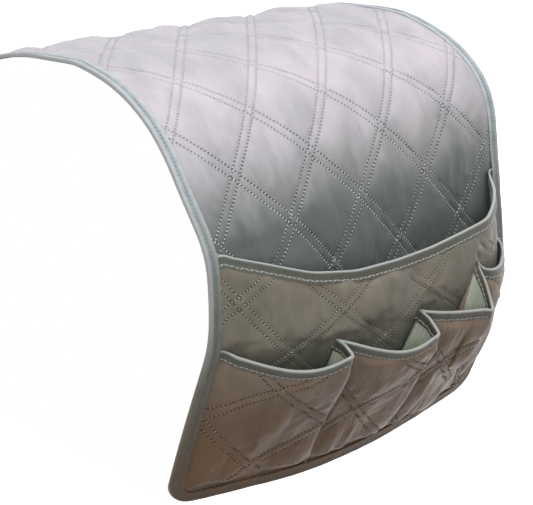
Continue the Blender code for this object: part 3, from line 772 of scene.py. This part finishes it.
def make_cover():
    x, s = cloth_grid(BACK_CLOTH, CLOTH_STEP)
    drawn = rounded_width(x, s)
    above = 1 - ramped(s, MAGAZINE_MOUTH - COVER_FLAT, FADE_REACH)
    room = ramped(magazine_bulge(x, s)[0], *COVER_ROOM)
    height = quilting(x, s, COVER_DIAMONDS, QUILT_CROWN, 11) * edge_fade(x, s)
    height = height * np.maximum(above, room)
    places = np.stack([x, s], -1)
    face = add_cloth("cover_face", cover_point(drawn, s, COVER_TOP + height), places, COVER_SATIN)
    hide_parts("cover_quilt")
    x, s = cloth_grid(BACK_CLOTH, LINING_STEP)
    lift = BACK_LEVEL + folds(x, s, BACK_WAVES, 3)
    back = add_cloth("cover_back", cover_point(rounded_width(x, s), s, lift),
                     np.stack([x, s], -1), BACK_CLOTH_LOOK, flipped=True)
    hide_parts("cover_backing")
    return face, back


def distances(path):
    """How far along a path each of its points lies."""
    return np.concatenate([[0], np.cumsum(np.linalg.norm(np.diff(path, axis=0), axis=1))])


def edge_path(step):
    """Places round the cover's edge with the direction into the cloth, evenly spaced."""
    straight_x = HALF_WIDTH - CORNER_RADIUS
    front, back = FRONT_LENGTH - CORNER_RADIUS, CORNER_RADIUS - BACK_LENGTH
    turns = np.linspace(0, pi / 2, 9)
    path = []
    for s in spread(back, front, step):
        path.append((HALF_WIDTH, s, -1, 0))
    corners = ((straight_x, front, 0), (-straight_x, front, 1), (-straight_x, back, 2),
               (straight_x, back, 3))
    runs = ([], [(x, FRONT_LENGTH, 0, -1) for x in spread(-straight_x, straight_x, step)[::-1]],
            [(-HALF_WIDTH, s, 1, 0) for s in spread(back, front, step)[::-1]],
            [(x, -BACK_LENGTH, 0, 1) for x in spread(-straight_x, straight_x, step)])
    for run, (cx, cs, turn) in zip(runs, corners):
        path += run
        for angle in turns[1:-1] + turn * pi / 2:
            path.append((cx + CORNER_RADIUS * cos(angle), cs + CORNER_RADIUS * sin(angle),
                         -cos(angle), -sin(angle)))
    return np.array(path)


def make_edge_tape():
    path = edge_path(3 * MM)
    x, s, into_x, into_s = path.T
    run = distances(path[:, :2])
    low = -CLEAR - TAPE_THICKNESS
    high = tape_height(s)
    ring = np.array([fold_profile(SEWN_TAPE_WIDTH, low, top, TAPE_THICKNESS) for top in high])
    width, level = ring[..., 0], ring[..., 1]
    gather = folds(run[:, None], width, EDGE_GATHER, 21)
    waver = folds(run[:, None], width, EDGE_WAVER, 22)
    level = level + gather * (level > low + 2 * TAPE_THICKNESS)
    width = width + waver * (width > SEWN_TAPE_WIDTH / 2)
    points = cover_point(x[:, None] + into_x[:, None] * width, s[:, None] + into_s[:, None] * width,
                         level)
    places = np.stack([width, run[:, None] + 0 * width], -1)
    tape = add_tape("edge_binding", points, places, EDGE_TAPE, closed=True)
    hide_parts("edge_tape")

    pitch, length, radius = EDGE_STITCH
    at = np.arange(0, run[-1], pitch)
    places = np.stack([np.interp(at, run, column) for column in (x, s, into_x, into_s)], -1)
    middle = places[:, :2] + places[:, 2:] * SEWN_TAPE_WIDTH / 2
    ahead = np.roll(middle, -1, axis=0)
    top = tape_height(places[:, 1])
    threads = []
    for side, level in (("top", top - EDGE_STITCH_SINK), ("under", low + 0 * top)):
        here = cover_point(middle[:, 0], middle[:, 1], level)
        there = cover_point(ahead[:, 0], ahead[:, 1], level)
        up = cover_point(middle[:, 0], middle[:, 1], level + MM) - here
        threads.append(add_stitches("edge_stitches_" + side, here, there - here, up, length,
                                    radius, GREY_THREAD))
    return tape, threads


def make_rim(name, points, press, seed):
    """Tape folded over a pocket's mouth, laid on the pocket's own cloth, and its stitches.
    points holds the mouth's columns and, in its rows, the cloth below the mouth. press is the
    share of its height that each column keeps."""
    mouth, below = points[:, 0], points[:, 1]
    facing = normals(points)
    face_top, face_low = facing[:, 0], facing[:, 1]
    down = unit(below - mouth)
    ring = np.array(fold_profile(RIM_TAPE_WIDTH + RIM_ROOM, -RIM_ROOM, POCKET_TOP + RIM_ROOM,
                                 RIM_TAPE_THICKNESS))
    run = distances(mouth)
    reach = ring[:, 0] - RIM_ROOM
    gather = folds(run[:, None], ring[None, :, 0], RIM_GATHER, seed)
    level = (ring[None, :, 1] + gather * (ring[None, :, 1] > 0)) * press[:, None]
    share = np.clip(reach / RIM_TAPE_WIDTH, 0, 1)[None, :, None]
    facing = unit(face_top[:, None] * (1 - share) + face_low[:, None] * share)
    sections = mouth[:, None] + down[:, None] * reach[None, :, None] + facing * level[..., None]
    places = np.stack(np.broadcast_arrays(ring[None, :, 0], run[:, None]), -1)
    tape = add_tape(name + "_rim_binding", sections, places, RIM_TAPE)
    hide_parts(name + "_rim_tape")

    pitch, length, radius = RIM_STITCH
    at = np.arange(RIM_STITCH_MARGIN, run[-1] - RIM_STITCH_MARGIN, pitch)

    def along(values):
        return np.stack([np.interp(at, run, values[:, k]) for k in range(3)], -1)

    lines = []
    for side, height in (("front", POCKET_TOP + RIM_ROOM), ("inside", -RIM_ROOM)):
        lift = unit(face_top + face_low) * height * press[:, None]
        here = along(mouth + down * RIM_TAPE_WIDTH * RIM_STITCH_SHARE + lift)
        ahead = np.roll(here, -1, axis=0) - here
        ahead[-1] = ahead[-2]
        up = along(face_low) * (1 if side == "front" else -1)
        turn = np.where(np.arange(len(at)) % 2, RIM_STITCH_SLANT, -RIM_STITCH_SLANT)
        slant = unit(ahead) + along(down) * turn[:, None]
        lines.append(add_stitches(name + "_rim_stitches_" + side, here, slant, up, length,
                                  radius, PALE_THREAD))
    return tape, lines


def make_pocket(name, base, height, places, press, satin, seed):
    """A pocket's quilted face, its lining, and the tape on its mouth with its stitches."""
    facing = normals(base)
    face = add_cloth(name + "_face", base + facing * height[..., None], places, satin)
    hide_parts(name + "_quilt")
    inside = add_cloth(name + "_inside", base + facing * LINING_LIFT, places, SAGE_LINING,
                       flipped=True)
    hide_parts(name + "_lining")
    tape, lines = make_rim(name, base[:, [0, 4]], press[:, 0], seed)
    return face, inside, tape, lines


def strip_mouth(x):
    """Where the remote pockets' mouth lies along the cloth behind it, seam by seam."""
    places, lifts = [], []
    for n, (left, right) in enumerate(zip(ALL_SEAMS, ALL_SEAMS[1:])):
        places += [left, right - TIP_RETURN]
        lifts += [SEAM_LIFTS[n], CORNER_LIFTS[n]]
    return REMOTE_MOUTH - np.interp(x, places + [TAPE_LINE], lifts + [CORNER_LIFTS[-1]])


def strip_room(x, s):
    """Share of its full relief that the magazine pocket may show behind the remote pockets:
    none where they are sewn down, some where they stand away."""
    above = ramped(strip_mouth(x) - s, *ROOM_ABOVE)
    away = np.ones_like(x)
    for place in ALL_SEAMS:
        away = np.minimum(away, ramped(np.abs(x - place), *ROOM_BESIDE))
    deep = 1 - ramped(s, *ROOM_BELOW)
    return np.maximum(above, away * deep * ROOM_SHARE * (x < POCKET_SEAMS[2]))


def make_panel():
    """Quilted front and lining of the magazine pocket."""
    x, s = cloth_grid(MAGAZINE_MOUTH, CLOTH_STEP)
    base = magazine_point(rounded_width(x, s), s)
    facing = normals(base)
    fade = ramped(TAPE_LINE - np.abs(x), 0, EDGE_PRESS_REACH) * strip_room(x, s)
    below = ramped(s, MAGAZINE_MOUTH + RIM_COVERED, FADE_REACH)
    room = ramped(magazine_bulge(x, s)[0], *PANEL_ROOM)
    loose = folds(x, s, PANEL_FOLDS, 31) * fade * room * below
    base = base + facing * loose[..., None]
    height = np.maximum(quilting(x, s, PANEL_DIAMONDS, POCKET_CROWN, 33), -ROW_SINK)
    press = pressed(x, s)
    return make_pocket("magazine_pocket", base, POCKET_TOP * press + height * fade * below,
                       np.stack([x, s], -1), press, PANEL_SATIN, 41)


def strip_columns(step):
    """The remote strip from left to right, evenly spaced along its folds: place, depth, slide
    down the cloth behind, droop, and the place across and shift along of its quilting."""
    columns = [(-CLOTH_EDGE, 0, -SEAM_LIFTS[0], 0, -CLOTH_EDGE, 0),
               (-TAPE_LINE - STRIP_MARGIN, 0, -SEAM_LIFTS[0], 0, -TAPE_LINE, 0)]
    for n, (left, right) in enumerate(zip(ALL_SEAMS, ALL_SEAMS[1:])):
        depth, droop, last = POCKET_DEPTHS[n], POCKET_DROOPS[n], n == len(POCKET_DEPTHS) - 1
        seam_lift, corner_lift = SEAM_LIFTS[n], CORNER_LIFTS[n]
        outline = []
        end = right if last else right - 2 * TIP_RETURN
        for x in np.linspace(left + SEAM_INSET, end, MOUTH_POINTS):
            share = (x - left) / (right - left)
            opened = share ** OPENING_POWERS[n]
            opened = sin(pi * min(opened, 1)) if last else opened
            outline.append((x, depth * opened, -(seam_lift + (corner_lift - seam_lift) * share),
                            droop * sin(pi * share ** DROOP_POWERS[n]) / 2))
        if not last:
            low, high = -corner_lift, -SEAM_LIFTS[n + 1]
            tip_share = (1 - TIP_RETURN / (right - left)) ** DROOP_POWERS[n]
            drooped = droop * sin(pi * tip_share) / 2
            outline += [(right - TIP_RETURN, depth, low, drooped),
                        (right - TIP_ROUND, depth * TIP_ROUND_SHARE, low, drooped),
                        (right - GUSSET_LEAN, depth * GUSSET_MIDDLE_SHARE,
                         high + (low - high) * GUSSET_MIDDLE_SHARE, 0),
                        (right - SEAM_INSET, 0, high, 0)]
        outline = np.array(outline)
        run = distances(outline[:, :2])
        at = spread(0, run[-1], step)
        fine = np.stack([np.interp(at, run, outline[:, k]) for k in range(4)], -1)
        fine[1:-1] = fine[1:-1] / 2 + (fine[:-2] + fine[2:]) / 4
        tip = np.argmax(fine[:, 1])
        returned = (np.arange(len(at)) > tip) & (not last)
        flat = np.where(returned, fine[tip, 0] + at - at[tip], fine[:, 0])
        shift = np.broadcast_to(STRIP_SHIFTS[n], (len(at), 2))
        columns += list(np.column_stack([fine, flat + shift[:, 0], shift[:, 1]]))
    columns += [(TAPE_LINE + STRIP_MARGIN, 0, -CORNER_LIFTS[-1], 0, TAPE_LINE, 0),
                (CLOTH_EDGE, 0, -CORNER_LIFTS[-1], 0, CLOTH_EDGE, 0)]
    return np.array(columns)


def make_tacks():
    """Knotted thread ends just above each seam between the remote pockets."""
    seam = np.repeat(POCKET_SEAMS, TACK_THREADS)
    turn = np.tile(np.arange(TACK_THREADS) * pi / TACK_THREADS, len(POCKET_SEAMS))
    s = strip_mouth(seam) - TACK_RISE
    here = magazine_point(seam, s)
    across = magazine_point(seam + MM, s) - here
    down = magazine_point(seam, s + MM) - here
    up = unit(np.cross(across, -down))
    along = unit(across) * np.cos(turn)[:, None] + unit(down) * np.sin(turn)[:, None]
    tacks = add_stitches("seam_tacks", here + up * (POCKET_TOP + TACK_RADIUS), along, up,
                         TACK_LENGTH, TACK_RADIUS, PALE_THREAD)
    return tacks


def make_strip():
    """Quilted front and lining of the four remote pockets."""
    columns = strip_columns(CLOTH_STEP)
    rows = spread(REMOTE_MOUTH, FRONT_CLOTH, CLOTH_STEP)
    x, s = np.meshgrid(columns[:, 0], rows, indexing="ij")
    depth, slide, droop, flat, shift = (columns[:, k][:, None] + 0 * s for k in range(1, 6))
    fade = 1 - ramped(s, REMOTE_MOUTH, FRONT_LINE - REMOTE_MOUTH)
    across = rounded_width(x, s)
    for n, place in enumerate(POCKET_SEAMS):
        drift = np.exp(-((x - place) / FOLD_DRIFT_REACH) ** 2)
        folded = (1 - ramped(depth, 0, POCKET_DEPTHS[n])) ** SLANT_POWER
        near = np.where(x < place, folded * (x > place - TIP_RETURN * 3),
                        1 - ramped(x, place, SLANT_END))
        along = np.clip(s - REMOTE_MOUTH, 0, SLANT_LENGTH)
        across = across + FOLD_DRIFT * (1 - fade) * drift - SEAM_SLANTS[n] * along * near * fade
    out = np.stack([0 * depth, -depth * fade, -droop * fade ** 2], -1)
    base = strip_back(across, s + slide * fade) + out
    loose = ramped(TAPE_LINE - np.abs(x), 0, EDGE_PRESS_REACH)
    loose = loose * ramped(s, REMOTE_MOUTH + RIM_COVERED, FADE_REACH)
    loose = loose * ramped(FRONT_LINE - s, 0, FADE_REACH)
    thin = np.ones_like(x)
    for place in POCKET_SEAMS:
        loose = loose * ramped(np.abs(x - place), 0, FADE_REACH)
        thin = thin * np.where(x < place, 1, np.clip((x - place) / THIN_REACH, THIN_SHARE, 1))
    swell = folds(flat, s, STRIP_FOLDS, 51) * loose * ramped(depth, *STRIP_ROOM)
    base = base + normals(base) * swell[..., None]
    height = np.maximum(quilting(flat, s + shift, STRIP_DIAMONDS, POCKET_CROWN, 53), -ROW_SINK)
    press = pressed(x, s)
    face, inside, tape, lines = make_pocket(
        "remote_pockets", base, POCKET_TOP * press * thin + height * loose,
        np.stack([flat, s + shift], -1), press, POCKET_SATIN, 61)
    lines.append(make_tacks())
    return face, inside, tape, lines


def make_camera():
    """The photograph's viewpoint, worked out from the object's corners in the image."""
    azimuth, pitch, roll = (radians(angle) for angle in CAMERA_ANGLES)
    ahead = Vector((sin(azimuth) * cos(pitch), cos(azimuth) * cos(pitch), -sin(pitch)))
    right = Vector((cos(azimuth), -sin(azimuth), 0))
    up = right.cross(ahead)
    tilted_right = right * cos(roll) + up * sin(roll)
    tilted_up = up * cos(roll) - right * sin(roll)
    data = bpy.data.cameras.new("camera")
    data.sensor_fit = "HORIZONTAL"
    data.sensor_width = SENSOR_WIDTH
    data.lens = SENSOR_WIDTH * FOCAL_PIXELS / PHOTO_PIXELS
    data.clip_start, data.clip_end = 0.05, 100
    camera = bpy.data.objects.new("camera", data)
    turn = Matrix((tilted_right, tilted_up, -ahead)).transposed()
    camera.matrix_world = Matrix.Translation(CAMERA_PLACE) @ turn.to_4x4()
    bpy.context.scene.collection.objects.link(camera)
    bpy.context.scene.camera = camera


def add_softbox(name, place, target, size, power, color):
    data = bpy.data.lights.new(name, "AREA")
    data.shape = "RECTANGLE"
    data.size, data.size_y = size
    data.energy = power
    data.color = color
    light = bpy.data.objects.new(name, data)
    light.location = place
    light.rotation_euler = (Vector(target) - Vector(place)).to_track_quat("-Z", "Y").to_euler()
    bpy.context.scene.collection.objects.link(light)


def seen_directly(tree):
    """One for rays that show the background: from the camera, off gloss and through glass."""
    new, link = tree.nodes.new, tree.links.new
    path = new("ShaderNodeLightPath")
    total = path.outputs["Is Camera Ray"]
    for kind in ("Is Glossy Ray", "Is Transmission Ray"):
        add = new("ShaderNodeMath")
        add.operation, add.use_clamp = "ADD", True
        link(total, add.inputs[0])
        link(path.outputs[kind], add.inputs[1])
        total = add.outputs[0]
    return total


def glowing(name, tone, glow):
    """Matt material that also gives off some white of its own."""
    material = bpy.data.materials.new(name)
    material.use_nodes = True
    shader = material.node_tree.nodes["Principled BSDF"]
    for socket, value in (("Base Color", (tone, tone, tone, 1)), ("Roughness", 0.9),
                          ("Specular IOR Level", 0.0), ("Emission Color", (1, 1, 1, 1)),
                          ("Emission Strength", glow)):
        shader.inputs[socket].default_value = value
    return material


def make_floor():
    corners = np.array([(FLOOR_REACH * x, FLOOR_REACH * y, FLOOR_LEVEL)
                        for x, y in ((-1, -1), (1, -1), (1, 1), (-1, 1))])
    floor = new_object("floor", corners, [(0, 1, 2, 3)], glowing("floor", 0.9, FLOOR_GLOW))
    floor.visible_diffuse = False


def make_support():
    """Plain white backdrop in the shape of what the cover hangs over. Only the camera sees it,
    so it neither lights nor shades the cloth."""
    x, s = np.meshgrid(np.linspace(-SUPPORT_REACH, SUPPORT_REACH, 9),
                       spread(BACK_CLOTH, FRONT_CLOTH, 8 * MM), indexing="ij")
    columns, rows = x.shape
    faces = grid_faces(columns, rows, around=True).tolist()
    faces += [list(range(rows)), list(range((columns - 1) * rows, columns * rows))[::-1]]
    support = new_object("support", cover_point(x, s, -SUPPORT_GAP), faces,
                         glowing("support", 0, 1))
    support.visible_diffuse = support.visible_glossy = False
    support.visible_transmission = support.visible_shadow = False


def make_studio():
    make_floor()
    make_support()
    world = bpy.data.worlds.new("studio")
    bpy.context.scene.world = world
    world.use_nodes = True
    tree = world.node_tree
    new, link = tree.nodes.new, tree.links.new
    place = new("ShaderNodeTexCoord")
    split = new("ShaderNodeSeparateXYZ")
    link(place.outputs["Generated"], split.inputs[0])
    height = new("ShaderNodeMapRange")
    height.inputs["From Min"].default_value = -1
    link(split.outputs["Z"], height.inputs["Value"])
    ramp = new("ShaderNodeValToRGB")
    stops = ramp.color_ramp.elements
    for k in (0, -1):
        stops[k].position, stops[k].color = SKY_STOPS[k][0], SKY_STOPS[k][1] + (1,)
    for position, color in SKY_STOPS[1:-1]:
        stops.new(position).color = color + (1,)
    link(height.outputs["Result"], ramp.inputs["Fac"])
    blend = new("ShaderNodeMix")
    blend.data_type = "RGBA"
    blend.inputs["B"].default_value = (1, 1, 1, 1)
    link(seen_directly(tree), blend.inputs["Factor"])
    link(ramp.outputs["Color"], blend.inputs["A"])
    link(blend.outputs["Result"], tree.nodes["Background"].inputs["Color"])
    for softbox in SOFTBOXES:
        add_softbox(*softbox)
    bpy.context.scene.view_settings.view_transform = "Standard"


make_camera()
make_studio()
face, back = make_cover()
binding, binding_threads = make_edge_tape()
panel, panel_inside, panel_tape, panel_lines = make_panel()
strip, strip_inside, strip_tape, strip_lines = make_strip()
